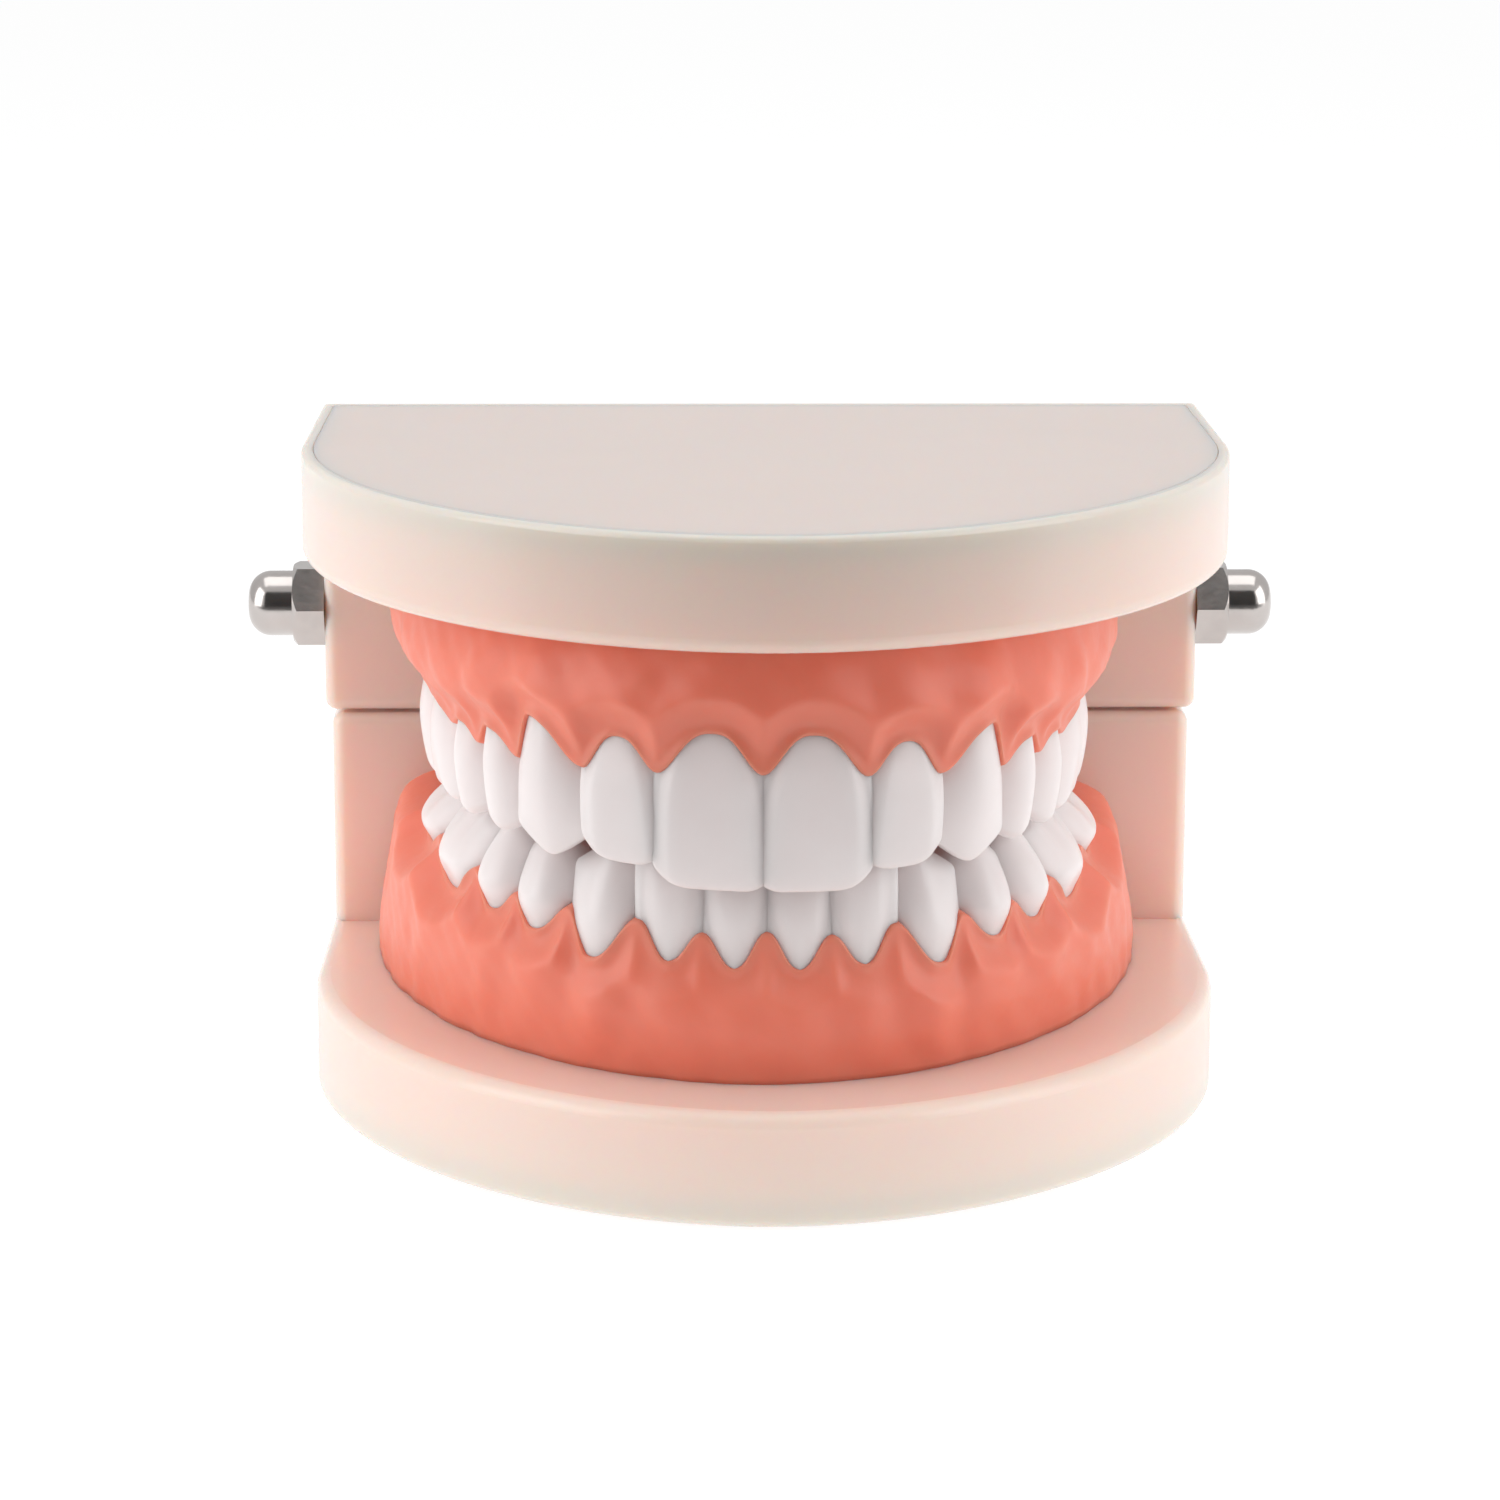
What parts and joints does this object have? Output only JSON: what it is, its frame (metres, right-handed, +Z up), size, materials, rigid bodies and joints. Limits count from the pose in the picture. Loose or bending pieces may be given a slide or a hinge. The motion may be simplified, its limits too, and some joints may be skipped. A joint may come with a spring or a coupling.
{
  "type": "dental typodont model",
  "caption": "Hinged teaching model of a closed mouth: two D-shaped plates carry pink gum arches set with separate white teeth, joined by a rod hinge with domed cap nuts.",
  "frame": {"origin": "centre of the bottom face of the closed model", "axes": "+Z up, teeth face -Y, hinge wall at +Y, +X to the right when the front teeth are looked at"},
  "size_m": [0.093, 0.0694, 0.056],
  "materials": {
    "base_shell": "glossy, slightly translucent beige",
    "base_cover": "glossy beige",
    "gum": "satin coral pink",
    "tooth": "satin white",
    "nut_nickel": "polished nickel plate",
    "rod_steel": "bright steel",
    "screw_steel": "zinc-plated steel"
  },
  "bodies": {
    "lower_jaw": {"lower_base": "base_shell", "lower_cover": "base_cover", "lower_gum": "gum", "lower_gum_screws": "screw_steel", "lower_left_central_incisor": "tooth", "lower_left_lateral_incisor": "tooth", "lower_left_canine": "tooth", "lower_left_first_premolar": "tooth", "lower_left_second_premolar": "tooth", "lower_left_first_molar": "tooth", "lower_left_second_molar": "tooth", "lower_right_central_incisor": "tooth", "lower_right_lateral_incisor": "tooth", "lower_right_canine": "tooth", "lower_right_first_premolar": "tooth", "lower_right_second_premolar": "tooth", "lower_right_first_molar": "tooth", "lower_right_second_molar": "tooth"},
    "upper_jaw": {"upper_base": "base_shell", "upper_cover": "base_cover", "upper_gum": "gum", "upper_gum_screws": "screw_steel", "hinge_rod": "rod_steel", "left_acorn_nut": "nut_nickel", "right_acorn_nut": "nut_nickel", "upper_left_central_incisor": "tooth", "upper_left_lateral_incisor": "tooth", "upper_left_canine": "tooth", "upper_left_first_premolar": "tooth", "upper_left_second_premolar": "tooth", "upper_left_first_molar": "tooth", "upper_left_second_molar": "tooth", "upper_right_central_incisor": "tooth", "upper_right_lateral_incisor": "tooth", "upper_right_canine": "tooth", "upper_right_first_premolar": "tooth", "upper_right_second_premolar": "tooth", "upper_right_first_molar": "tooth", "upper_right_second_molar": "tooth"}
  },
  "joints": [
    {"name": "jaw_hinge", "type": "hinge", "parent": "lower_jaw", "child": "upper_jaw", "pos_m": [0, 0.03085, 0.0383], "axis": [-1, 0, 0], "range_deg": [0, 95]}
  ]
}
